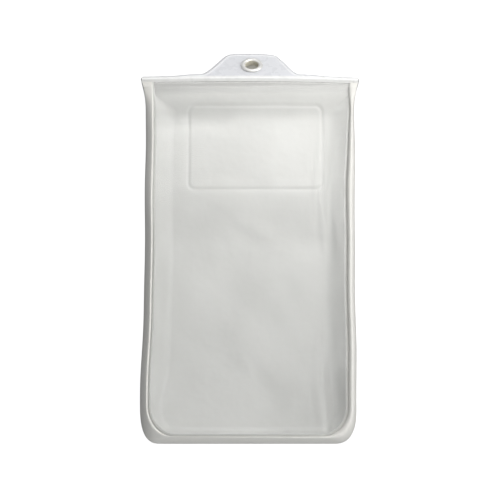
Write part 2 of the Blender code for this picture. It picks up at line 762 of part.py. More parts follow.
def build():
    for old in list(bpy.data.objects):
        bpy.data.objects.remove(old, do_unlink=True)
    white_vinyl = material("white_vinyl", (0.80, 0.80, 0.77), 0.38)
    padded_vinyl = material("padded_vinyl", (0.84, 0.84, 0.81), 0.30)
    clear_vinyl = material("clear_vinyl", (0.90, 0.92, 0.90), 0.12, alpha=0.18)
    milky_vinyl = material("milky_vinyl", (0.80, 0.83, 0.88), 0.25, alpha=0.80)
    zip_vinyl = material("zip_vinyl", (0.82, 0.82, 0.80), 0.35)
    hook_tape = material("hook_tape", (0.78, 0.78, 0.76), 0.85)
    loop_tape = material("loop_tape", (0.80, 0.80, 0.78), 0.95)
    nickel = material("nickel", (0.72, 0.71, 0.67), 0.22, metallic=1.0)
    rear_panel(white_vinyl)
    front_window(clear_vinyl)
    side_bolster(padded_vinyl)
    for name, setback in zip_lines().items():
        zip_pair(name, setback, zip_vinyl)
    patch("hook_patch", HOOK_LENGTH, HOOK_THICKNESS, MOUTH_Y + PATCH_MARGIN, HOOK_Z, hook_tape)
    patch("loop_patch", LOOP_LENGTH, LOOP_THICKNESS, MOUTH_Y, LOOP_Z, loop_tape)
    hang_strip(milky_vinyl)
    eyelet(nickel)


build()
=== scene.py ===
"""The looks of a waterproof case: welded vinyl, a padded rim and a hang tab with an eyelet.

The case lies on its back: X runs across it, Y towards the hang tab and Z up through the window.
"""

import math

import bpy
import numpy as np
from mathutils import Matrix, Vector


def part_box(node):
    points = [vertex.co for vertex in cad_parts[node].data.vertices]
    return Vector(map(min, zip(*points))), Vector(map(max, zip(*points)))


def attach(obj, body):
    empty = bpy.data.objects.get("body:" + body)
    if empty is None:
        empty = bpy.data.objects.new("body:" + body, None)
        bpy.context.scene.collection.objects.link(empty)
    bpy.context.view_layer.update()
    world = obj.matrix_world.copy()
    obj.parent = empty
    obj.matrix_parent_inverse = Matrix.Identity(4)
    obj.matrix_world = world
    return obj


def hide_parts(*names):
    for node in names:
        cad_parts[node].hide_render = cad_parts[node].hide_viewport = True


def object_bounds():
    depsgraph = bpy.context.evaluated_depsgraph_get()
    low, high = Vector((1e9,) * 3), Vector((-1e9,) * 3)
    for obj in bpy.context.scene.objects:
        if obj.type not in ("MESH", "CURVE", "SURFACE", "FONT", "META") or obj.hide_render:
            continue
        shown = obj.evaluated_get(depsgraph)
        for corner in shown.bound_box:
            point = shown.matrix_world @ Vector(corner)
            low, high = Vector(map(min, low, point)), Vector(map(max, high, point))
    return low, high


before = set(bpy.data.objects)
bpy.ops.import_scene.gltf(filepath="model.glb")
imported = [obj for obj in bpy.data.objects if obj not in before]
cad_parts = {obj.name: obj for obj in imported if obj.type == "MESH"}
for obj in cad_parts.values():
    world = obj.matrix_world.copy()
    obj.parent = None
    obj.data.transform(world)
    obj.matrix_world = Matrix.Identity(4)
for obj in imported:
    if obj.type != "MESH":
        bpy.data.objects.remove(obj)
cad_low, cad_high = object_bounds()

# Rear sheet. The real one is a long piece of opaque white vinyl, cut from a roll. It is welded
# under the rim, climbs over the folded neck to the top edge, and turns back behind the case to
# its mouth. The weld that holds the loop tape on its back shows in front as a pressed rectangle.
LEFT = -1
RIGHT = 1
GAP = 0.0003
SHEET = 0.0007
CLEAR_SHEET = 0.0005
FOLD_RADIUS = 0.0058
REAR_FOLD_RADIUS = FOLD_RADIUS - CLEAR_SHEET - GAP
WELDED_FILM = 0.00015
WELDED_GAP = 0.00005
WELD_LIFT = CLEAR_SHEET + GAP - WELDED_FILM - WELDED_GAP
WELD_END_ANGLE = 0.9
WELD_FADE_ANGLE = 0.7

Y_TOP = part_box("front_window")[1].y
Y_BOTTOM = cad_low.y
FOLD_Y = Y_TOP - FOLD_RADIUS
MOUTH_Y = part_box("loop_patch")[0].y
NECK_INSET = 0.0008
NECK_RUN = 0.0120

HALF_WIDTH = 0.04575
EAR_FLARE = 0.0025
EAR_RUN = 0.0160
HEEL_FLARE = {LEFT: 0.0016, RIGHT: 0.0002}
HEEL_RUN = 0.0640
HEEL_RISE = 0.0170
SEAM_CORNER = 0.0115
CORNER_SPREAD = {LEFT: 0.0078, RIGHT: 0.0090}
CORNER_POWER = 2.5
RIM_WIDTH = 0.0040
CORNER_Y = Y_BOTTOM + RIM_WIDTH + SEAM_CORNER
PANEL_INSET = 0.0010
DROOP = {LEFT: 0.0006, RIGHT: 0.0010}
DROOP_RUN = 0.0300
WANDER = 0.00012
WANDER_TURNS = (148.0, 71.0)

RAISED_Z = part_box("loop_patch")[1].z + GAP
RAMP_TOP_Y = MOUTH_Y - GAP - 0.0018
RAMP_RUN = 0.0290
CLIMB_RUN = 0.0132
PLY_LEAD = 0.0016
PLY_Z = CLEAR_SHEET + GAP
PLY_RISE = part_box("zip_inner_channel")[1].z + GAP - PLY_Z
PLY_UP_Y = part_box("zip_inner_channel")[1].y + PLY_LEAD
PLY_DOWN_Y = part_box("zip_outer_channel")[0].y - PLY_LEAD
PLY_DOWN_RUN = 0.0032
ZIP_END = 0.9166

WELD_X = 0.0023
WELD_HALF = 0.0293
WELD_CORNER = 0.0030
WELD_TOP_Y = Y_TOP - 0.0133
WELD_LOW_Y = RAMP_TOP_Y - 0.0035
WELD_WIDTH = 0.00075
WELD_DEPTH = 0.00048
WELD_SHARE_BEHIND = 0.5

UNEVEN = 0.00012
UNEVEN_SIZE = 0.032
UNEVEN_SEED = 0.8
LEVEL_SIDE_SHARE = 0.12
LEVEL_TOP_RUN = 0.004
CROSSED_WAVES = ((0.3, 1.0), (1.4, 1.7), (2.2, 0.6), (2.9, 2.3))

FOLD_ROWS = 32
CORNER_ROWS = 20
NECK_ROWS = (10, 9, 9, 10)
ROW_STEP = 0.0012
COLUMN_STEP = 0.0017
FINE_STEP = 0.0003
FINE_REACH = 0.003
FINE_SHIFT = 0.0012
LEAST_STEP = 0.0004
SHARP_ANGLE = math.radians(40)

WHITE_DARKER = (0.765, 0.768, 0.76, 1.0)
WHITE_LIGHTER = (0.81, 0.813, 0.805, 1.0)
# Painted shade: a grey mixed into the rear sheet near the crest and round the fold.
CREST_SHADE_GREY = (0.61, 0.61, 0.605, 1.0)
CREST_SHADE_RUN = 0.0042
CREST_SHADE_LEAD = 0.95


def ease(t):
    """A smooth step: 3 t squared minus 2 t cubed, held at 0 and 1 outside."""
    t = np.clip(t, 0.0, 1.0)
    return t * t * (3.0 - 2.0 * t)


def bell(distance, width):
    """1 over e to the square of the distance in widths, so almost 0 from two widths on."""
    return np.exp(-((distance / width) ** 2))


def by_side(x, values):
    """The left value where x is below 0, and the right value elsewhere."""
    return np.where(x < 0, values[LEFT], values[RIGHT])


def ear(y):
    """0 along the body, then the share of the last run before the fold's outside, squared."""
    return np.clip((y - (Y_TOP - EAR_RUN)) / EAR_RUN, 0.0, 1.0) ** 2


def rim_edge(y, side):
    """Half width over the rim: constant, plus the ear's flare and an eased flare at the heel."""
    heel = HEEL_FLARE[side] * ease((Y_BOTTOM + HEEL_RISE + HEEL_RUN - y) / HEEL_RUN)
    return HALF_WIDTH + EAR_FLARE * ear(y) + heel


def rounded_edge(edge, y, bottom, spread, power):
    """Half width with the corner below CORNER_Y taken off by a quarter of a superellipse."""
    fall = np.clip((CORNER_Y - y) / (CORNER_Y - bottom), 0.0, 1.0)
    return edge - spread * (1.0 - (1.0 - fall**power) ** (1.0 / power))


def corner_rows(bottom, power):
    """Rows up to CORNER_Y: its distance to the bottom, times cosines to the power of 2 / power."""
    cosine = np.cos(np.linspace(0.0, math.pi / 2, CORNER_ROWS))
    return CORNER_Y - (CORNER_Y - bottom) * cosine ** (2.0 / power)


def panel_under(y):
    """Underside of the rear sheet: two eased steps, onto the folded neck and up to the crest."""
    crest = FOLD_RADIUS + REAR_FOLD_RADIUS + WELD_LIFT - SHEET
    ramp = RAISED_Z * ease((y - (RAMP_TOP_Y - RAMP_RUN)) / RAMP_RUN)
    return ramp + (crest - RAISED_Z) * ease((y - (FOLD_Y - CLIMB_RUN)) / CLIMB_RUN)


def neck_half(y, rows_behind, side):
    """Half width past the crest: the ear's edge there and back, less an eased inset behind."""
    half = rim_edge(y, side)
    half[-rows_behind:] -= NECK_INSET * ease((FOLD_Y - y[-rows_behind:]) / NECK_RUN)
    return half


def fine_near(low, high, places, step):
    """Ascending values from low to high, at this step, but at FINE_STEP near each place."""
    values = [low]
    while values[-1] < high:
        close = min(abs(values[-1] - place) for place in places) < FINE_REACH
        values.append(values[-1] + (FINE_STEP if close else step))
    return np.array(values[:-1] + [high])


def add(name, data):
    """Puts a new object with this data into the scene."""
    made = bpy.data.objects.new(name, data)
    bpy.context.scene.collection.objects.link(made)
    return made


def skin(name, points, endless=False):
    """A mesh of quads on rows of points. Each row is a ring.

    The last row joins the first if the mesh is endless, and else both ends are capped.
    """
    rings = np.arange(points.shape[0] * points.shape[1]).reshape(points.shape[:2])
    caps = [] if endless else [rings[0].tolist(), rings[-1][::-1].tolist()]
    number = np.concatenate([rings, rings[:1]]) if endless else rings
    number = np.concatenate([number, number[:, :1]], axis=1)
    corners = [number[:-1, :-1], number[:-1, 1:], number[1:, 1:], number[1:, :-1]]
    quads = np.stack(corners, axis=-1).reshape(-1, 4).tolist()
    mesh = bpy.data.meshes.new(name)
    mesh.from_pydata(points.reshape(-1, 3).tolist(), [], quads + caps)
    if signed_volume(mesh) < 0:
        mesh.flip_normals()
    mesh.shade_smooth()
    mesh.set_sharp_from_angle(angle=SHARP_ANGLE)
    return add(name, mesh)


def signed_volume(mesh):
    """Sum over the mesh's triangles of the corner triple product: negative if it is inside out."""
    mesh.calc_loop_triangles()
    corner = np.empty(len(mesh.loop_triangles) * 3, np.int32)
    mesh.loop_triangles.foreach_get("vertices", corner)
    place = np.empty(len(mesh.vertices) * 3, np.float32)
    mesh.vertices.foreach_get("co", place)
    a, b, c = place.reshape(-1, 3)[corner].reshape(-1, 3, 3).transpose(1, 0, 2)
    return float(np.einsum("ij,ij->", a, np.cross(b, c)))


def paint(piece, name, values):
    """Stores one number for each point of the piece, for its material to read."""
    layer = piece.data.attributes.new(name, "FLOAT", "POINT")
    layer.data.foreach_set("value", np.ascontiguousarray(values, dtype=np.float32).ravel())


def fold_turns():
    """Angles round the fold, and how far the plies are welded at each.

    They are welded at the crest, and the share eases to 0 behind it.
    """
    angle = np.append(GAP / FOLD_RADIUS, np.linspace(0.0, math.pi, FOLD_ROWS + 1)[1:])
    return angle, 1.0 - ease((angle - WELD_END_ANGLE) / WELD_FADE_ANGLE)


def folded_line(front_y, front_z, angle, radius, back_y, back_z):
    """A line over the front, round the fold at these angles and radii, and back to the mouth."""
    y = np.concatenate([front_y, FOLD_Y + radius * np.sin(angle), back_y])
    z = np.concatenate([front_z, FOLD_RADIUS + radius * np.cos(angle), back_z])
    return y, z


def sheet_grid(y, rows_behind, front_half, across):
    """X and Y of a sheet's points, and which of its rows are in front.

    Points stand at these shares of their row's half width, which is given for the rows in front.
    """
    front = len(front_half[LEFT])
    reach = {}
    for side in (LEFT, RIGHT):
        behind = neck_half(y, rows_behind, side)[front:]
        reach[side] = np.outer(np.concatenate([front_half[side], behind]), across)
    x = by_side(across, reach)
    return x, np.broadcast_to(y[:, None], x.shape), (np.arange(len(y)) < front)[:, None]


def two_faced(name, y, z, x, thickness, lift_over, lift_under):
    """A closed sheet: its middle line is offset half the thickness each way along the normal.

    Each face then has its lift. Each row is a ring, across the upper face and back on the lower.
    """
    slope_y, slope_z = np.gradient(y), np.gradient(z)
    length = np.hypot(slope_y, slope_z)
    out_y = -slope_z / length * thickness / 2
    out_z = slope_y / length * thickness / 2
    faces = []
    for way, lift in ((1, lift_over), (-1, lift_under)):
        face_y = np.broadcast_to((y + way * out_y)[:, None], x.shape)
        faces.append(np.stack([x, face_y, (z + way * out_z)[:, None] + lift], 2))
    rings = np.concatenate([faces[0], faces[1][:, ::-1]], axis=1)
    return skin(name, settle(rings))


def settle(points):
    """Moves points as the soft case has settled.

    The ends of the fold droop with the square of the distance from the middle, and the sides
    wander by two slow sine waves along the case.
    """
    x, y, z = points[..., 0], points[..., 1], points[..., 2]
    share = x / HALF_WIDTH
    droop = by_side(x, DROOP) * share**2 * ease((y - Y_TOP) / DROOP_RUN + 1.0)
    quick, slow = WANDER_TURNS
    wander = WANDER * share * (np.sin(y * quick + 2.0 * share) + np.sin(y * slow - share))
    return np.stack([x + wander * ease((FOLD_Y - y) / DROOP_RUN), y - droop, z], axis=-1)


def weld_groove(x, y):
    """Depth of the pressed line: a bell over the distance to a rounded rectangle's outline."""
    middle = (WELD_TOP_Y + WELD_LOW_Y) / 2
    half_y = (WELD_TOP_Y - WELD_LOW_Y) / 2
    over_x = np.abs(x - WELD_X) - (WELD_HALF - WELD_CORNER)
    over_y = np.abs(y - middle) - (half_y - WELD_CORNER)
    outside = np.hypot(np.maximum(over_x, 0.0), np.maximum(over_y, 0.0))
    distance = outside + np.minimum(np.maximum(over_x, over_y), 0.0) - WELD_CORNER
    return WELD_DEPTH * bell(distance, WELD_WIDTH)


def waves(x, y, size, height, seed):
    """Gentle unevenness: the mean of sine waves that cross, each with its direction and stretch.

    The seed turns them all and shifts their phases.
    """
    total = 0.0
    for turn, stretch in CROSSED_WAVES:
        along = x * math.cos(turn + seed) + y * math.sin(turn + seed)
        total = total + np.sin(along * 2 * math.pi / (size * stretch) + seed * 7.0 * stretch)
    return total * height / len(CROSSED_WAVES)


class Socket:
    """A shader socket in an expression: each operator adds a Math node and gives its output."""

    def __init__(self, owner, output):
        self.owner = owner
        self.output = output

    def maths(self, operation, *values):
        return self.owner.node("Math", {"operation": operation}, dict(enumerate(values)))

    def __add__(self, other):
        return self.maths("ADD", self, other)

    __radd__ = __add__

    def __sub__(self, other):
        return self.maths("SUBTRACT", self, other)

    def __rsub__(self, other):
        return self.maths("SUBTRACT", other, self)

    def __mul__(self, other):
        return self.maths("MULTIPLY", self, other)

    __rmul__ = __mul__


class Nodes:
    """The nodes of a material or of the studio's surroundings."""

    def __init__(self, owner):
        owner.use_nodes = True
        self.nodes = owner.node_tree.nodes
        self.links = owner.node_tree.links

    def node(self, kind, settings, sockets, output=0):
        """Adds a node, gives it its settings first and then its sockets' values or links."""
        made = self.nodes.new("ShaderNode" + kind)
        for setting, value in settings.items():
            setattr(made, setting, value)
        for socket, value in sockets.items():
            if isinstance(value, Socket):
                self.links.new(value.output, made.inputs[socket])
            else:
                made.inputs[socket].default_value = value
        return Socket(self, made.outputs[output])

    def ramp(self, value, low, high, start, end):
        """Eases from start to end while the value goes from low to high."""
        settings = {"interpolation_type": "SMOOTHSTEP"}
        return self.node("MapRange", settings, {0: value, 1: low, 2: high, 3: start, 4: end})


class Finish(Nodes):
    """A material being made: its nodes, and the Principled shader that they feed."""

    def __init__(self, name, **constants):
        self.material = bpy.data.materials.new(name)
        super().__init__(self.material)
        self.shader = self.nodes["Principled BSDF"]
        for socket, value in constants.items():
            self.shader.inputs[socket.replace("_", " ")].default_value = value

    def feed(self, socket, value):
        self.links.new(value.output, self.shader.inputs[socket])

    def place(self):
        return self.node("TexCoord", {}, {}, "Object")

    def noise(self, size, detail=2.0, place=None):
        """Noise from 0 to 1 whose features are about this size in metres."""
        sockets = {"Vector": place or self.place(), "Scale": 1.0 / size, "Detail": detail}
        return self.node("TexNoise", {}, sockets, "Fac")

    def painted(self, name):
        return self.node("Attribute", {"attribute_name": name}, {}, "Fac")

    def mix(self, share, start, end):
        """The colour start where the share is 0 and end where it is 1."""
        return self.node("Mix", {"data_type": "RGBA"}, {0: share, 6: start, 7: end}, 2)

    def bump(self, height, distance, under=None):
        """Relief of this many metres, on top of the relief that lies under it."""
        sockets = {"Height": height, "Distance": distance}
        if under:
            sockets["Normal"] = under
        return self.node("Bump", {}, sockets)

    def put_on(self, piece):
        piece.data.materials.clear()
        piece.data.materials.append(self.material)


def white_sheet_finish():
    """Soft white vinyl: a faint grain, slow variations of tone, and a satin gloss that varies.

    Near the crest and round the fold a grey is painted in as painted shade, where the clear sheet
    is welded to it.
    """
    finish = Finish("white_sheet", Specular_IOR_Level=0.45)
    white = finish.mix(finish.noise(size=0.018), WHITE_DARKER, WHITE_LIGHTER)
    finish.feed("Base Color", finish.mix(finish.painted("welded"), white, CREST_SHADE_GREY))
    finish.feed("Roughness", finish.noise(size=0.006) * 0.12 + 0.34)
    grain = finish.bump(finish.noise(size=0.00045, detail=3.0), distance=0.00002)
    finish.feed("Normal", finish.bump(finish.noise(size=0.007), distance=0.00025, under=grain))
    return finish


def neck_rows():
    """Rows of the rear sheet from the fold to the mouth, and its eased rise over both zips."""
    stops = (FOLD_Y, PLY_UP_Y, PLY_DOWN_Y, PLY_DOWN_Y - PLY_DOWN_RUN, MOUTH_Y)
    spans = zip(stops, stops[1:], NECK_ROWS)
    y = np.concatenate([np.linspace(start, end, count)[1:] for start, end, count in spans])
    up = ease((FOLD_Y - y) / (FOLD_Y - PLY_UP_Y))
    return y, PLY_RISE * (up - ease((PLY_DOWN_Y - y) / PLY_DOWN_RUN))


def rear_sheet():
    """Rows follow the folded line and columns cross it, both closer along the pressed line."""
    bottom = Y_BOTTOM + PANEL_INSET
    start = corner_rows(bottom, CORNER_POWER)
    level_lines = (WELD_TOP_Y - FINE_SHIFT, WELD_LOW_Y + FINE_SHIFT)
    front_y = fine_near(bottom, FOLD_Y, level_lines, ROW_STEP)
    front_y = np.concatenate([start, front_y[front_y > start[-1] + LEAST_STEP]])
    front_z = panel_under(front_y) + SHEET / 2
    back_y, rise = neck_rows()
    angle, welded = fold_turns()
    radius = REAR_FOLD_RADIUS + WELD_LIFT * welded - SHEET / 2
    y, z = folded_line(front_y, front_z, angle, radius, back_y, PLY_Z + SHEET / 2 + rise)
    half = {}
    for side in (LEFT, RIGHT):
        edge = rim_edge(front_y, side) - PANEL_INSET * (1.0 - ear(front_y))
        spread = CORNER_SPREAD[side] - PANEL_INSET
        half[side] = rounded_edge(edge, front_y, bottom, spread, CORNER_POWER)
    upright_lines = (WELD_X - WELD_HALF + FINE_SHIFT, WELD_X + WELD_HALF - FINE_SHIFT)
    across = fine_near(-HALF_WIDTH, HALF_WIDTH, upright_lines, COLUMN_STEP) / HALF_WIDTH
    x, row_y, on_front = sheet_grid(y, len(back_y), half, across)
    inside = ease((1.0 - np.abs(across)) / LEVEL_SIDE_SHARE)
    inside = inside * ease((FOLD_Y - row_y) / LEVEL_TOP_RUN)
    uneven = UNEVEN + waves(x, row_y, UNEVEN_SIZE, UNEVEN, UNEVEN_SEED)
    groove = np.where(on_front, weld_groove(x, row_y), 0.0)
    pinch = ease((np.abs(across) - ZIP_END) / (1.0 - ZIP_END))
    lift = on_front * uneven * inside
    lift = lift - np.outer(np.concatenate([0.0 * y[: -len(back_y)], rise]), pinch)
    lift_under = lift - WELD_SHARE_BEHIND * groove
    made = two_faced("rear_sheet", y, z, x, SHEET, lift - groove, lift_under)
    # Painted shade: grey near the crest and round the fold, none behind it.
    near_crest = ease((front_y - FOLD_Y) / CREST_SHADE_RUN + CREST_SHADE_LEAD)
    shade_share = np.concatenate([near_crest, welded, 0.0 * back_y])
    paint(made, "welded", np.repeat(shade_share, 2 * len(across)))
    white_sheet_finish().put_on(made)
    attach(made, "root")
    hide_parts("rear_panel")


rear_sheet()

# Loop tape on the rear sheet's back and hook tape on the folded neck. Both are woven nylon, cut
# with rounded corners and welded flat; they hold the neck folded.
# The tape's hollows get a darker colour, as painted shade.
TAPE_HOLLOW_SHADE = (0.52, 0.52, 0.50, 1.0)
TAPE_FIBRE = (0.78, 0.78, 0.76, 1.0)


def tape_finish(name, pile):
    """Woven nylon tape: raised fibres, with painted shade in the hollows between them."""
    finish = Finish(name, Roughness=0.92, Specular_IOR_Level=0.2)
    fibres = finish.noise(size=pile, detail=4.0)
    finish.feed("Base Color", finish.mix(fibres, TAPE_HOLLOW_SHADE, TAPE_FIBRE))
    finish.feed("Normal", finish.bump(fibres, distance=0.0004))
    return finish


tape_finish("hook_tape", pile=0.0009).put_on(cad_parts["hook_patch"])
tape_finish("loop_tape", pile=0.0005).put_on(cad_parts["loop_patch"])

# Press-to-close zips. Each is a pair of extruded soft plastic strips across the neck, a rib and
# the channel that catches it, welded to the two plies.
ZIP_DARKER = (0.68, 0.68, 0.66, 1.0)
ZIP_LIGHTER = (0.76, 0.76, 0.74, 1.0)
ZIP_STRETCH = (0.02, 1.0, 1.0)


def zip_finish():
    """Extruded soft plastic: fine lines along the extrusion and a slight waxy unevenness."""
    finish = Finish("zip_plastic", Specular_IOR_Level=0.4)
    sockets = {"Vector": finish.place(), "Scale": ZIP_STRETCH}
    lines = finish.noise(size=0.00025, place=finish.node("Mapping", {}, sockets))
    finish.feed("Base Color", finish.mix(lines, ZIP_DARKER, ZIP_LIGHTER))
    finish.feed("Roughness", finish.noise(size=0.002) * 0.15 + 0.35)
    finish.feed("Normal", finish.bump(lines, distance=0.00003))
    return finish


zip_plastic = zip_finish()
for strip in ("zip_inner_rib", "zip_inner_channel", "zip_outer_rib", "zip_outer_channel"):
    zip_plastic.put_on(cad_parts[strip])

# Padded rim. A strip of foam wrapped in glossy white vinyl, in one piece down the left side, round
# the heel and up the right side. The weld to the window runs along its inner edge, and each end
# is flattened over the crest of the fold.
CASE_HEIGHT = cad_high.z
LEFT_SPREAD = 0.0017
RIGHT_PINCH = 0.0018
PINCH_Y = Y_TOP - 0.0170
PINCH_RUN = 0.0340
PINCH_POWER = 1.5
RIM_STAND = 0.0014
RIM_TIP_STAND = 0.0006
RIM_FULLNESS = 2.15
RIM_LEAN = {LEFT: 0.50, RIGHT: 0.12}
RIM_START = -0.42
RIM_END = 0.80
LEDGE_WIDTH = 0.0008
SLOPE_WIDTH = 0.0074
SLOPE_WIDTH_AT_FOLD = 0.0092
SLOPE_WIDTH_AT_HEEL = 0.0046
SLOPE_POWER = 1.9
SLOPE_FADE = 0.0045
SLOPE_LEAST = 0.02
SLOPE_EDGE = 0.0001
SEAT = 0.00012
WINDOW_DROP = 0.0018
SHOULDER_RUN = 0.0242
HEEL_WIDTH = 0.0024
SEAM_BOTTOM_Y = Y_BOTTOM + HEEL_WIDTH

STRIP_RADIUS = FOLD_RADIUS + GAP
STRIP_SLOPE = math.radians(37)
STRIP_LAND = math.radians(13)
RIM_TIP = STRIP_SLOPE - STRIP_LAND - GAP / STRIP_RADIUS

TUBE_POINTS = 34
SLOPE_POINTS = 12
TIP_RINGS = 10
LEG_RINGS = 130
CORNER_RINGS = 30
HEEL_RINGS = 60

RIM_DARKER = (0.745, 0.735, 0.695, 1.0)
RIM_LIGHTER = (0.80, 0.79, 0.755, 1.0)
# Painted shade along the weld: a darker grey, full on the left and weaker on the right.
RIM_WELD_SHADE = (0.50, 0.50, 0.485, 1.0)
RIM_SHADE_COLUMN = TUBE_POINTS - 1.5
RIM_SHADE_COLUMNS = 2.0
RIM_SHADE_SHARE = {LEFT: 1.0, RIGHT: 0.6}
RIM_SHADE_TURN = 0.02


def blend(start, end, share):
    """The start, plus this share of the way to the end."""
    return start + (end - start) * share


def seam_edge(y, side):
    """Half width to the weld between rim and window: the rim's edge less the rim's own width."""
    return rim_edge(y, side) - rim_width(y, side)


def rim_width(y, side):
    """On the left it grows with the ear. On the right it is pinched towards PINCH_Y by a power."""
    if side == LEFT:
        return RIM_WIDTH + LEFT_SPREAD * ear(y)
    tightening = np.clip((y - PINCH_Y + PINCH_RUN) / PINCH_RUN, 0.0, 1.0) ** PINCH_POWER
    return RIM_WIDTH - RIGHT_PINCH * tightening * (1.0 - ease((y - PINCH_Y) / (Y_TOP - PINCH_Y)))


def shoulder(y):
    """Share of the way down to the fold: t cubed times 10 minus 15 t plus 6 t squared."""
    t = np.clip((y - (FOLD_Y - SHOULDER_RUN)) / SHOULDER_RUN, 0.0, 1.0)
    return t**3 * (10.0 - 15.0 * t + 6.0 * t**2)


def window_top(y):
    """Upper face of the window along its edge: level, then down the shoulder to the crest."""
    return blend(CASE_HEIGHT - WINDOW_DROP, 2 * FOLD_RADIUS, shoulder(y))


def rim_crest(y):
    """Top of the rim: level, then down the same shoulder to a little over the fold."""
    return blend(CASE_HEIGHT, 2 * FOLD_RADIUS + RIM_STAND, shoulder(y))


def signed_power(values, power):
    """The power of each value's size, with the value's sign."""
    return np.sign(values) * np.abs(values) ** power


def rim_tube(side, width, crest, under):
    """Outer part of the sections: a superellipse from its outer foot over the crest to the weld.

    It leans inwards with the square of the height over its middle.
    """
    angle = np.linspace(RIM_START, RIM_END, TUBE_POINTS) * math.pi
    power = 2.0 / RIM_FULLNESS
    out = width[:, None] / 2 * (1.0 + signed_power(np.cos(angle), power))
    rise = signed_power(np.sin(angle), power)
    up = ((crest + under) / 2)[:, None] + ((crest - under) / 2)[:, None] * rise
    return out * (1.0 - RIM_LEAN[side] * np.maximum(rise, 0.0) ** 2), up


def rim_rings(side, width, crest, under, ledge, slope):
    """Sections as (distance outwards from the seam, height), a row for each entry of the arrays.

    Inside the tube come the ledge under the window and a slope, which falls by a power.
    """
    tube_out, tube_up = rim_tube(side, width, crest, under)
    foot = under + SLOPE_EDGE
    fade = np.clip((ledge - foot) / SLOPE_FADE, SLOPE_LEAST, 1.0)
    ledge = np.maximum(ledge, foot)
    shelf = fade * LEDGE_WIDTH
    reach = shelf + fade * slope
    out = [0.0 * shelf, -0.5 * shelf, -shelf]
    up = [ledge, ledge, ledge]
    for share in np.linspace(0.0, 1.0, SLOPE_POINTS)[1:]:
        out.append(-blend(shelf, reach, share))
        up.append(blend(ledge, foot, 1.0 - (1.0 - share) ** SLOPE_POWER))
    out += [-reach, width * 0.5]
    up += [under, under]
    out = np.concatenate([tube_out, np.stack(out, 1)], axis=1)
    return out, np.concatenate([tube_up, np.stack(up, 1)], axis=1)


def rim_leg(side, y):
    """Rings along one side, at these places, each in a plane across the case."""
    near_heel = ease((Y_BOTTOM + 2 * HEEL_RISE - y) / HEEL_RISE)
    slope = blend(SLOPE_WIDTH, SLOPE_WIDTH_AT_FOLD, shoulder(y))
    slope = blend(slope, SLOPE_WIDTH_AT_HEEL, near_heel)
    ledge = window_top(y) - CLEAR_SHEET - GAP
    under = panel_under(y) + SHEET + SEAT
    out, up = rim_rings(side, rim_width(y, side), rim_crest(y), under, ledge, slope)
    x = side * (seam_edge(y, side)[:, None] + out)
    return np.stack([x, np.broadcast_to(y[:, None], x.shape), up], 2)


def rim_corner(side, angle):
    """Rings round one bottom corner, spread from the weld's quarter ellipse to the fuller outline.

    The outline is a superellipse. Inside the weld the rings go straight in, across the weld.
    """
    same = np.ones(len(angle))
    ledge = same * (CASE_HEIGHT - WINDOW_DROP - CLEAR_SHEET - GAP)
    crest, under = same * CASE_HEIGHT, same * (SHEET + SEAT)
    slope = same * SLOPE_WIDTH_AT_HEEL
    out, up = rim_rings(side, same * RIM_WIDTH, crest, under, ledge, slope)
    share = np.maximum(out, 0.0) / RIM_WIDTH
    inwards = np.minimum(out, 0.0)
    across = np.cos(angle)[:, None]
    along = np.sin(angle)[:, None]
    power = 2.0 / CORNER_POWER
    weld_x = seam_edge(CORNER_Y, side) - SEAM_CORNER * (1.0 - across)
    weld_y = CORNER_Y - (CORNER_Y - SEAM_BOTTOM_Y) * along
    edge_x = rim_edge(CORNER_Y, side) - CORNER_SPREAD[side] * (1.0 - across**power)
    edge_y = CORNER_Y - (CORNER_Y - Y_BOTTOM) * along**power
    x = side * (blend(weld_x, edge_x, share) + inwards * across)
    return np.stack([x, blend(weld_y, edge_y, share) - inwards * along, up], 2)


def rim_tip(side, angle):
    """Rings of a flattened end, at these angles round the fold, with heights from its axis."""
    stand = blend(RIM_STAND - GAP, RIM_TIP_STAND, angle / RIM_TIP)
    under = np.full(len(angle), STRIP_RADIUS)
    none = 0.0 * under
    y = FOLD_Y + STRIP_RADIUS * np.sin(angle)
    out, up = rim_rings(side, rim_width(y, side), under + stand, under, none, none)
    x = side * (seam_edge(y, side)[:, None] + out)
    y = FOLD_Y + up * np.sin(angle)[:, None]
    return np.stack([x, y, FOLD_RADIUS + up * np.cos(angle)[:, None]], 2)


def rim_finish():
    """Glossy vinyl over foam: very fine grain, slow changes of tone, and soft dimples.

    Inside the weld it is the same cool white as the rear sheet. Along the weld a darker grey
    is painted in as painted shade.
    """
    finish = Finish("padded_rim", Specular_IOR_Level=0.5)
    cloudy = finish.noise(size=0.014)
    outside = finish.mix(cloudy, RIM_DARKER, RIM_LIGHTER)
    inside = finish.mix(cloudy, WHITE_DARKER, WHITE_LIGHTER)
    body = finish.mix(finish.painted("inside"), outside, inside)
    finish.feed("Base Color", finish.mix(finish.painted("weld_highlight_and_shade"), body, RIM_WELD_SHADE))
    finish.feed("Roughness", finish.noise(size=0.005) * 0.12 + 0.40)
    grain = finish.bump(finish.noise(size=0.0004, detail=3.0), distance=0.000012)
    finish.feed("Normal", finish.bump(finish.noise(size=0.0045), distance=0.00018, under=grain))
    return finish


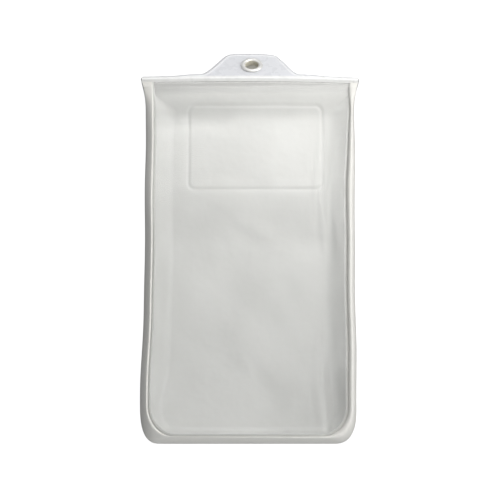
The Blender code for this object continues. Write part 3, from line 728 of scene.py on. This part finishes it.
def padded_rim():
    """The rings of tips, legs, corners and heel, in one run from the left tip to the right."""
    tip = np.linspace(0.0, RIM_TIP, TIP_RINGS)
    leg = np.linspace(CORNER_Y, FOLD_Y - GAP, LEG_RINGS)[1:]
    turn = np.linspace(0.0, math.pi / 2, CORNER_RINGS)
    corner = rim_corner(LEFT, turn), rim_corner(RIGHT, turn[::-1])
    share = np.linspace(0.0, 1.0, HEEL_RINGS)[1:-1, None, None]
    rings = [
        rim_tip(LEFT, tip[::-1]),
        rim_leg(LEFT, leg[::-1]),
        corner[0],
        blend(corner[0][-1], corner[1][0], share),
        corner[1],
        rim_leg(RIGHT, leg),
        rim_tip(RIGHT, tip),
    ]
    points = settle(np.concatenate(rings))
    made = skin("padded_rim", points)
    column = np.broadcast_to(np.arange(points.shape[1]), points.shape[:2])
    paint(made, "inside", column > TUBE_POINTS)
    # Painted shade: darker grey along the weld, full on the left and 0.6 of it on the right.
    to_right = np.clip(points[..., 0] / RIM_SHADE_TURN, -1.0, 1.0) / 2 + 0.5
    shade_share = blend(RIM_SHADE_SHARE[LEFT], RIM_SHADE_SHARE[RIGHT], to_right)
    paint(made, "weld_highlight_and_shade", bell(column - RIM_SHADE_COLUMN, RIM_SHADE_COLUMNS) * shade_share)
    rim_finish().put_on(made)
    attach(made, "root")
    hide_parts("side_bolster")


padded_rim()

# Window sheet. Clear soft vinyl, a little slack. It is welded on the rim's ledge, passes over the
# fold, where it is welded to the rear sheet, and is the outer ply of the neck behind.
WINDOW_SAG = 0.0010
SLACK_RUN = 0.3
SLACK_WAVE = 0.00026
SLACK_WAVE_SIZE = 0.026
SLACK_WAVE_SEED = 2.1
SLACK_WAVE_SQUEEZE = 0.5
FOLD_POWER = 8
FILM_WELD_RUN = 0.004
CREASES = ((LEFT, 0.55), (RIGHT, 0.75), (RIGHT, 0.28))
CREASE_X = 0.0425
CREASE_Y = 0.0690
CREASE_LENGTH = 0.0260
CREASE_START = 0.0040
CREASE_FADE = 0.7 * CREASE_LENGTH
CREASE_WIDTH = 0.0011
CREASE_HEIGHT = 0.00018
RIPPLE_X = 0.0340
RIPPLE_BAND = 0.0065
RIPPLE_SPACING = 0.0062
RIPPLE_HEIGHT = 0.00007
RIPPLE_WANDER = 0.0012
RIPPLE_WANDER_TURN = 90.0
RIPPLE_TURN = 55.0

CIRCLE = 2.0
WINDOW_ROWS = 120
WINDOW_NECK_ROWS = 30
WINDOW_COLUMNS = 81

FILM_TINT = (0.88, 0.88, 0.87, 1.0)
CLEAR_TINT = (0.995, 0.995, 0.99, 1.0)


def window_finish():
    """Clear vinyl: mostly see-through, with a gloss that reflects more at a glancing angle.

    Soft ripples bend the reflections, and a faint haze varies over the sheet.
    """
    finish = Finish("clear_film", Base_Color=FILM_TINT, Roughness=0.175, Metallic=0.75)
    ripples = finish.bump(finish.noise(size=0.026), distance=0.0005)
    grain = finish.bump(finish.noise(size=0.0035), distance=0.00001, under=ripples)
    finish.feed("Normal", grain)
    clear = finish.node("BsdfTransparent", {}, {"Color": CLEAR_TINT})
    glancing = finish.node("LayerWeight", {}, {"Blend": 0.25}, "Fresnel")
    haze = finish.noise(size=0.02) * 0.02 + glancing * 0.55 + 0.03
    glossy = Socket(finish, finish.shader.outputs[0])
    film = finish.node("MixShader", {}, {0: haze, 1: clear, 2: glossy})
    finish.links.new(film.output, finish.nodes["Material Output"].inputs["Surface"])
    return finish


def window_creases(x, y):
    """Folds from the top corners: a bell across each line, which eases in and out along it."""
    total = 0.0
    for side, lean in CREASES:
        out = side * x - CREASE_X
        down = CREASE_Y - y
        away = out * math.cos(lean) + down * math.sin(lean)
        along = down * math.cos(lean) - out * math.sin(lean)
        fade = ease(along / CREASE_START) * ease((CREASE_LENGTH - along) / CREASE_FADE)
        total = total + CREASE_HEIGHT * bell(away, CREASE_WIDTH) * fade
    return total


def right_ripples(x, y):
    """Upright folds beside the right rim: a sine across, under a bell across and a sine along."""
    wander = RIPPLE_WANDER * np.sin(y * RIPPLE_WANDER_TURN)
    sine = np.sin((x + wander) * 2 * math.pi / RIPPLE_SPACING)
    along = 0.6 + 0.4 * np.sin(y * RIPPLE_TURN)
    return RIPPLE_HEIGHT * bell(x - RIPPLE_X, RIPPLE_BAND) * sine * along


def window_sheet():
    """Rows follow the window, the fold and the neck, and columns cross them.

    The middle sags with one minus the square of the way across, eased in and out along the case.
    """
    bottom = SEAM_BOTTOM_Y + GAP
    corner = corner_rows(bottom, CIRCLE)
    front_y = np.concatenate([corner, np.linspace(corner[-1], FOLD_Y, WINDOW_ROWS)[1:]])
    back_y = np.linspace(FOLD_Y, MOUTH_Y, WINDOW_NECK_ROWS)[1:]
    angle, welded = fold_turns()
    near_crest = ease((front_y - FOLD_Y) / FILM_WELD_RUN + 1.0)
    welded = np.concatenate([near_crest, welded, 0.0 * back_y])
    thickness = blend(CLEAR_SHEET, WELDED_FILM, welded)
    front, behind = len(front_y), len(back_y)
    front_z = window_top(front_y) - thickness[:front] / 2
    radius = FOLD_RADIUS - thickness[front:-behind] / 2
    y, z = folded_line(front_y, front_z, angle, radius, back_y, thickness[-behind:] / 2)
    half = {}
    for side in (LEFT, RIGHT):
        edge = seam_edge(front_y, side) - GAP
        half[side] = rounded_edge(edge, front_y, bottom, SEAM_CORNER - GAP, CIRCLE)
    across = np.linspace(-1.0, 1.0, WINDOW_COLUMNS)
    x, row_y, on_front = sheet_grid(y, behind, half, across)
    along = np.clip((row_y - bottom) / (FOLD_Y - bottom), 0.0, 1.0)
    slack = on_front * ease(along / SLACK_RUN) * ease((1.0 - along) / SLACK_RUN)
    slack = slack * (1.0 - across**2)
    wave = waves(x, row_y * SLACK_WAVE_SQUEEZE, SLACK_WAVE_SIZE, SLACK_WAVE, SLACK_WAVE_SEED)
    folds = on_front * (window_creases(x, row_y) + right_ripples(x, row_y))
    lift = -WINDOW_SAG * slack + slack * wave + folds * (1.0 - across**FOLD_POWER)
    made = two_faced("window_sheet", y, z, x, thickness, lift, lift)
    window_finish().put_on(made)
    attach(made, "root")
    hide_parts("front_window")


window_sheet()

# Hang strip. Two plies of milky vinyl welded together round their edge, and welded along the top
# fold. In the middle it widens into the rounded hang tab.
STRIP_THICKNESS = 0.0010
STRIP_HALF = 0.0475
STRIP_LIP = 0.0016
STRIP_EDGE = 0.00005
TOUCH = 0.00025
LAND_LENGTH = STRIP_LAND * STRIP_RADIUS
TAB_LENGTH = 0.0168
TAB_HALF = 0.0220
TAB_FLAT = {LEFT: 0.0085, RIGHT: 0.0106}
TAB_CROWN = {LEFT: 0.0003, RIGHT: 0.0005}
TAB_CROWN_AT = 0.0085
TAB_CROWN_MOST = 1.6
TAB_FOOT = 0.0010
TAB_FOOT_END = 0.0360
TAB_FOOT_RUN = 0.0120
EDGE_THINNING = 0.35
EDGE_THINNING_BEHIND = 0.3
EDGE_RUN = 0.00035
STRIP_WELD_INSET = 0.0014
STRIP_WELD_WIDTH = 0.00045
STRIP_WELD_HEIGHT = 0.00014
STRIP_WELD_RUN = 0.001
EYELET_X = 0.0008
EYELET_SETBACK = 0.0078
EYELET_HOLE = 0.0036
PUNCH_LENGTH = 0.006
PUNCH_SIDES = 64

TAB_COLUMNS = 121
END_COLUMNS = 24
LAND_ROWS = 12
STRIP_ROWS = 54
STRIP_ROW_POWER = 1.3

LAND_FADE = 0.0006
# Painted highlight: a whiter band at the bend, where the strip leaves the fold.
BEND_START = 0.0008
BEND_END = 0.0012
BEND_FADE = 0.0006
# Painted shade: a grey band along the strip's outer edge.
EDGE_SHADE_SHARE = 0.8
EDGE_SHADE_WIDTH = 0.0006
# Painted highlight: a whiter line along the weld ridge.
LINE_WIDTH = 0.0004
LINE_RUN = 0.002
MILK_DARKER = (0.80, 0.81, 0.84, 1.0)
MILK_LIGHTER = (0.83, 0.84, 0.87, 1.0)
LINE_HIGHLIGHT = (0.97, 0.97, 0.99, 1.0)
LAND_WHITE = (0.76, 0.76, 0.745, 1.0)
BEND_HIGHLIGHT = (0.97, 0.97, 0.965, 1.0)
EDGE_SHADE_GREY = (0.56, 0.56, 0.57, 1.0)


def strip_point(along, out):
    """Follows the fold before the line where the strip leaves it, and runs straight after it."""
    angle = STRIP_SLOPE + np.minimum(along, 0.0) / STRIP_RADIUS
    straight = np.maximum(along, 0.0)
    radius = STRIP_RADIUS + out
    y = FOLD_Y + radius * np.sin(angle) + straight * math.cos(STRIP_SLOPE)
    z = FOLD_RADIUS + radius * np.cos(angle) - straight * math.sin(STRIP_SLOPE)
    return y, z


def strip_reach(x):
    """How far the strip stands out: its lip, which eases up to the tab's length in the middle.

    The tab's edge falls with the third power of the distance from its middle, and the lip is a
    little wider beside the tab.
    """
    flat = by_side(x, TAB_FLAT)
    tab = 1.0 - ease((np.abs(x) - flat) / (TAB_HALF - flat))
    fall = np.minimum(np.abs(x) / TAB_CROWN_AT, TAB_CROWN_MOST) ** 3
    crown = by_side(x, TAB_CROWN) * fall * tab
    foot = TAB_FOOT * ease((TAB_FOOT_END - np.abs(x)) / TAB_FOOT_RUN) * (1.0 - tab)
    return blend(STRIP_LIP, TAB_LENGTH, tab) - crown + foot


def strip_finish():
    """Milky vinyl that lets some light through, with a soft gloss.

    A whiter line along the weld ridge and a whiter band at the bend are painted highlights, a
    grey band along the outer edge is painted shade, and the welded land is opaque.
    """
    finish = Finish("milky_strip", Specular_IOR_Level=0.5)
    land = finish.painted("land")
    milk = finish.mix(finish.noise(size=0.006), MILK_DARKER, MILK_LIGHTER)
    line_highlighted = finish.mix(finish.painted("weld_highlight_and_shade"), milk, LINE_HIGHLIGHT)
    highlighted = finish.mix(finish.painted("bend_highlight"), finish.mix(land, line_highlighted, LAND_WHITE), BEND_HIGHLIGHT)
    finish.feed("Base Color", finish.mix(finish.painted("edge_shade"), highlighted, EDGE_SHADE_GREY))
    finish.feed("Roughness", finish.noise(size=0.003) * 0.12 + 0.22)
    finish.feed("Normal", finish.bump(finish.noise(size=0.003), distance=0.00006))
    finish.feed("Alpha", finish.ramp(land, 0.0, 1.0, 0.88, 1.0))
    return finish


def hang_strip():
    """Columns cross the case. Rows run from the welded land to the edge, closer towards it."""
    middle = np.linspace(-TAB_HALF, TAB_HALF, TAB_COLUMNS)
    end = np.linspace(TAB_HALF, STRIP_HALF, END_COLUMNS)[1:]
    x = np.concatenate([-end[::-1], middle, end])
    reach = strip_reach(x)
    land = np.linspace(-LAND_LENGTH, 0.0, LAND_ROWS)[:-1]
    share = 1.0 - (1.0 - np.linspace(0.0, 1.0, STRIP_ROWS)) ** STRIP_ROW_POWER
    along = np.concatenate([np.tile(land[:, None], len(x)), np.outer(share, reach)])
    from_edge = (reach - along) / np.hypot(1.0, np.gradient(reach, x))
    inside_edge = np.maximum(from_edge, 0.0)
    ridge = STRIP_WELD_HEIGHT * bell(from_edge - STRIP_WELD_INSET, STRIP_WELD_WIDTH)
    ridge = ridge * ease(along / STRIP_WELD_RUN)
    thin = STRIP_THICKNESS * np.exp(-inside_edge / EDGE_RUN) * EDGE_THINNING
    full = ease(1.0 + along / LAND_LENGTH)
    outer = blend(STRIP_EDGE - TOUCH, STRIP_THICKNESS - thin + ridge, full)
    inner = blend(-TOUCH, EDGE_THINNING_BEHIND * thin, full)
    x = np.broadcast_to(x, along.shape)
    upper = np.stack([x, *strip_point(along, outer)], 2)
    lower = np.stack([x, *strip_point(along, inner)], 2)
    rings = np.concatenate([upper, lower[::-1]]).transpose(1, 0, 2)
    made = skin("hang_strip_sheet", settle(rings))
    # Painted highlights at the bend and on the weld line, and painted shade along the edge.
    painted = {
        "land": ease(0.5 - along / LAND_FADE),
        "bend_highlight": ease(1.0 + along / BEND_START) * ease((BEND_END - along) / BEND_FADE),
        "edge_shade": EDGE_SHADE_SHARE * bell(inside_edge, EDGE_SHADE_WIDTH),
        "weld_highlight_and_shade": bell(from_edge - STRIP_WELD_INSET, LINE_WIDTH) * ease(along / LINE_RUN),
    }
    for name, values in painted.items():
        paint(made, name, np.concatenate([values, values[::-1]]).T)
    punch(made, eyelet_place(), EYELET_HOLE)
    strip_finish().put_on(made)
    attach(made, "root")
    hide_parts("hang_strip")


def eyelet_place():
    """The eyelet's own frame: its origin is in the middle of the strip, and its Z points out."""
    y, z = strip_point(np.array(EYELET_SETBACK), STRIP_THICKNESS / 2)
    middle = Matrix.Translation((EYELET_X, float(y), float(z)))
    return middle @ Matrix.Rotation(-STRIP_SLOPE, 4, "X")


def punch(piece, place, radius):
    """Cuts a round hole through the piece along the Z of the given place, in its own mesh."""
    bpy.ops.mesh.primitive_cylinder_add(vertices=PUNCH_SIDES, radius=radius, depth=PUNCH_LENGTH)
    tool = bpy.context.object
    tool.data.transform(place)
    cut = piece.modifiers.new("hole", "BOOLEAN")
    cut.operation = "DIFFERENCE"
    cut.object = tool
    bpy.context.view_layer.update()
    punched = piece.evaluated_get(bpy.context.evaluated_depsgraph_get())
    shape = bpy.data.meshes.new_from_object(punched)
    piece.modifiers.clear()
    piece.data = shape
    bpy.data.objects.remove(tool)


hang_strip()

# Eyelet and washer. A flanged barrel turned from thin nickel-plated brass goes through the tab.
# Its end is rolled out over a washer behind.
BORE = 0.00295
BARREL_WALL = 0.00035
FLANGE = 0.0048
CROWN = 0.0007
ROLL = 0.0039
ROLL_HEIGHT = 0.00035
WASHER = 0.0049
WASHER_THICKNESS = 0.0003
TURN_STEPS = 96
CROWN_POINTS = 25
BEAD_POINTS = 9
BEND_POINTS = 7

PLATE_DARKER = (0.80, 0.79, 0.76, 1.0)
PLATE_LIGHTER = (0.92, 0.91, 0.89, 1.0)
BRASS_DARKER = (0.78, 0.74, 0.62, 1.0)
BRASS_LIGHTER = (0.90, 0.86, 0.74, 1.0)
BRASS_DEPTH = 0.00005


def turned(name, profile, place):
    """Turns a closed outline of (radius, height) points about the place's Z axis."""
    radius, height = np.array(profile).T
    turn = np.linspace(0.0, 2 * math.pi, TURN_STEPS + 1)[:-1, None]
    x = radius * np.cos(turn)
    points = np.stack([x, radius * np.sin(turn), np.broadcast_to(height, x.shape)], axis=2)
    made = skin(name, points, endless=True)
    paint(made, "bore", np.broadcast_to(radius < BORE + BRASS_DEPTH, x.shape))
    made.data.transform(place)
    return made


def arc(centre, radii, start, end, steps):
    """Points of an ellipse's arc about the centre, between two angles in turns."""
    angle = np.linspace(start, end, steps) * 2 * math.pi
    out = centre[0] + radii[0] * np.cos(angle)
    up = centre[1] + radii[1] * np.sin(angle)
    return list(zip(out.tolist(), up.tolist()))


def bead(edge, top, foot):
    """Points of a half circle from top to foot, which reaches out to the edge."""
    half = (top - foot) / 2
    return arc((edge - half, (top + foot) / 2), (half, half), 0.25, -0.25, BEAD_POINTS)


def metal_finish():
    """Nickel plate, dulled by handling. Inside the bore the plate is thin and the brass shows."""
    finish = Finish("nickel_plate")
    scuffs = finish.noise(size=0.0012, detail=3.0)
    plate = finish.mix(scuffs, PLATE_DARKER, PLATE_LIGHTER)
    brass = finish.mix(scuffs, BRASS_DARKER, BRASS_LIGHTER)
    bore = finish.painted("bore")
    finish.feed("Base Color", finish.mix(bore, plate, brass))
    finish.feed("Metallic", 0.35 - bore * 0.15)
    finish.feed("Roughness", scuffs * 0.14 + 0.26)
    finish.feed("Normal", finish.bump(finish.noise(size=0.0004), distance=0.00001))
    return finish


def eyelet():
    """Outlines of barrel and washer run round the metal, with heights over the tab's middle."""
    place = eyelet_place()
    outside = BORE + BARREL_WALL
    flange_foot = STRIP_THICKNESS / 2 + GAP
    washer_top = -flange_foot
    washer_foot = washer_top - WASHER_THICKNESS
    roll_top = washer_foot - GAP
    roll_foot = roll_top - ROLL_HEIGHT
    inner_foot = roll_foot + BARREL_WALL
    crown = (BORE + FLANGE) / 2, flange_foot
    crown_radii = (FLANGE - BORE) / 2, CROWN
    outline = [(BORE, inner_foot), (BORE, flange_foot)]
    outline += arc(crown, crown_radii, 0.5, 0.0, CROWN_POINTS)[1:]
    outline += [(outside, flange_foot), (outside, roll_top), (ROLL - ROLL_HEIGHT / 2, roll_top)]
    outline += bead(ROLL, roll_top, roll_foot)[1:]
    bend_radii = BARREL_WALL, BARREL_WALL
    outline += arc((outside, inner_foot), bend_radii, 0.75, 0.5, BEND_POINTS)[:-1]
    washer = [(outside + GAP, washer_foot), (outside + GAP, washer_top)]
    washer += bead(WASHER, washer_top, washer_foot)
    barrel = turned("eyelet_metal", outline, place)
    ring = turned("washer_metal", washer, place)
    metal = metal_finish()
    for piece, node in ((barrel, "eyelet_barrel"), (ring, "eyelet_washer")):
        metal.put_on(piece)
        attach(piece, "root")
        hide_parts(node)


eyelet()

# Floor, studio lights and camera. The floor is plain white, with a soft shade under the hang tab.
# Five soft lights stand at the upper right, beyond the top edge, at the right, below the heel and
# overhead. The camera looks down from a little below the heel.
FLOOR_SIZE = 3.0
FLOOR_GLOW = 0.93
FLOOR_GREY = (0.30, 0.30, 0.30, 1.0)
FLOOR_WHITE = (1.0, 1.0, 1.0, 1.0)
SHADE = (0.28, 0.27, 0.235, 1.0)
SHADE_Y = 0.0813
SHADE_NARROWING = 0.45
SHADE_INNER = 0.0016
SHADE_OUTER = 0.0058

SKY_TINT = (0.97, 0.985, 1.0, 1.0)
SKY_LOW = 0.17
SKY_HIGH = 0.33
SKY_EDGE = 0.25

CAMERA_TILT = math.radians(11.5)
CAMERA_DISTANCE = 1.40
CAMERA_LENS = 231.6
CAMERA_TARGET = Vector((0.0, -0.0028, 0.008))


def floor():
    """One square that glows white, with a darker oval under the tab that fades at its edge."""
    half = FLOOR_SIZE / 2
    corners = [(-half, -half, 0.0), (half, -half, 0.0), (half, half, 0.0), (-half, half, 0.0)]
    mesh = bpy.data.meshes.new("floor")
    mesh.from_pydata(corners, [], [(0, 1, 2, 3)])
    made = add("floor", mesh)
    constants = {"Base_Color": FLOOR_GREY, "Roughness": 0.9, "Specular_IOR_Level": 0.0}
    finish = Finish("floor_paper", Emission_Strength=FLOOR_GLOW, **constants)
    sockets = {"Vector": finish.place(), "Scale": (SHADE_NARROWING, 1.0, 1.0)}
    narrowed = finish.node("Mapping", {}, sockets)
    middle = (SHADE_NARROWING * EYELET_X, SHADE_Y, 0.0)
    distance = {"operation": "DISTANCE"}
    away = finish.node("VectorMath", distance, {0: narrowed, 1: middle}, "Value")
    shade = finish.ramp(away, SHADE_INNER, SHADE_OUTER, 1.0, 0.0)
    finish.feed("Emission Color", finish.mix(shade, FLOOR_WHITE, SHADE))
    finish.put_on(made)
    made.visible_diffuse = False
    made.visible_glossy = False


def aim(made, place, direction):
    """Puts a lamp or the camera in its place and turns it to look this way."""
    made.location = place
    made.rotation_mode = "QUATERNION"
    made.rotation_quaternion = direction.to_track_quat("-Z", "Y")


def softbox(name, place, width, height, power, colour=(1.0, 1.0, 1.0)):
    """A rectangular area light aimed at the middle of the case."""
    data = bpy.data.lights.new(name, "AREA")
    data.shape = "RECTANGLE"
    data.size = width
    data.size_y = height
    data.energy = power
    data.color = colour
    made = add(name, data)
    aim(made, place, -Vector(place))
    return made


def surroundings():
    """A dim cool studio: its strength eases from low to high across the horizon."""
    world = bpy.data.worlds.new("studio")
    sky = Nodes(world)
    height = sky.node("SeparateXYZ", {}, {0: sky.node("TexCoord", {}, {}, "Generated")}, "Z")
    strength = sky.ramp(height, -SKY_EDGE, SKY_EDGE, SKY_LOW, SKY_HIGH)
    background = sky.nodes["Background"].inputs
    background["Color"].default_value = SKY_TINT
    sky.links.new(strength.output, background["Strength"])
    bpy.context.scene.world = world
    bpy.context.scene.view_settings.view_transform = "Standard"


def camera():
    data = bpy.data.cameras.new("camera")
    data.lens = CAMERA_LENS
    made = add("camera", data)
    back = Vector((0.0, -math.sin(CAMERA_TILT), math.cos(CAMERA_TILT)))
    aim(made, CAMERA_TARGET + back * CAMERA_DISTANCE, -back)
    bpy.context.scene.camera = made


floor()
softbox("key", (0.12, 0.12, 0.25), 0.26, 0.26, power=0.50, colour=(1.0, 0.99, 0.97))
softbox("top", (0.05, 0.60, 0.35), 0.60, 0.20, power=1.1)
softbox("side", (0.40, 0.05, 0.18), 0.25, 0.25, power=0.5)
softbox("fill", (0.10, -0.40, 0.10), 0.40, 0.12, power=0.56).visible_glossy = False
softbox("overhead", (-0.05, 0.30, 1.20), 0.05, 0.60, power=0.40)
surroundings()
camera()
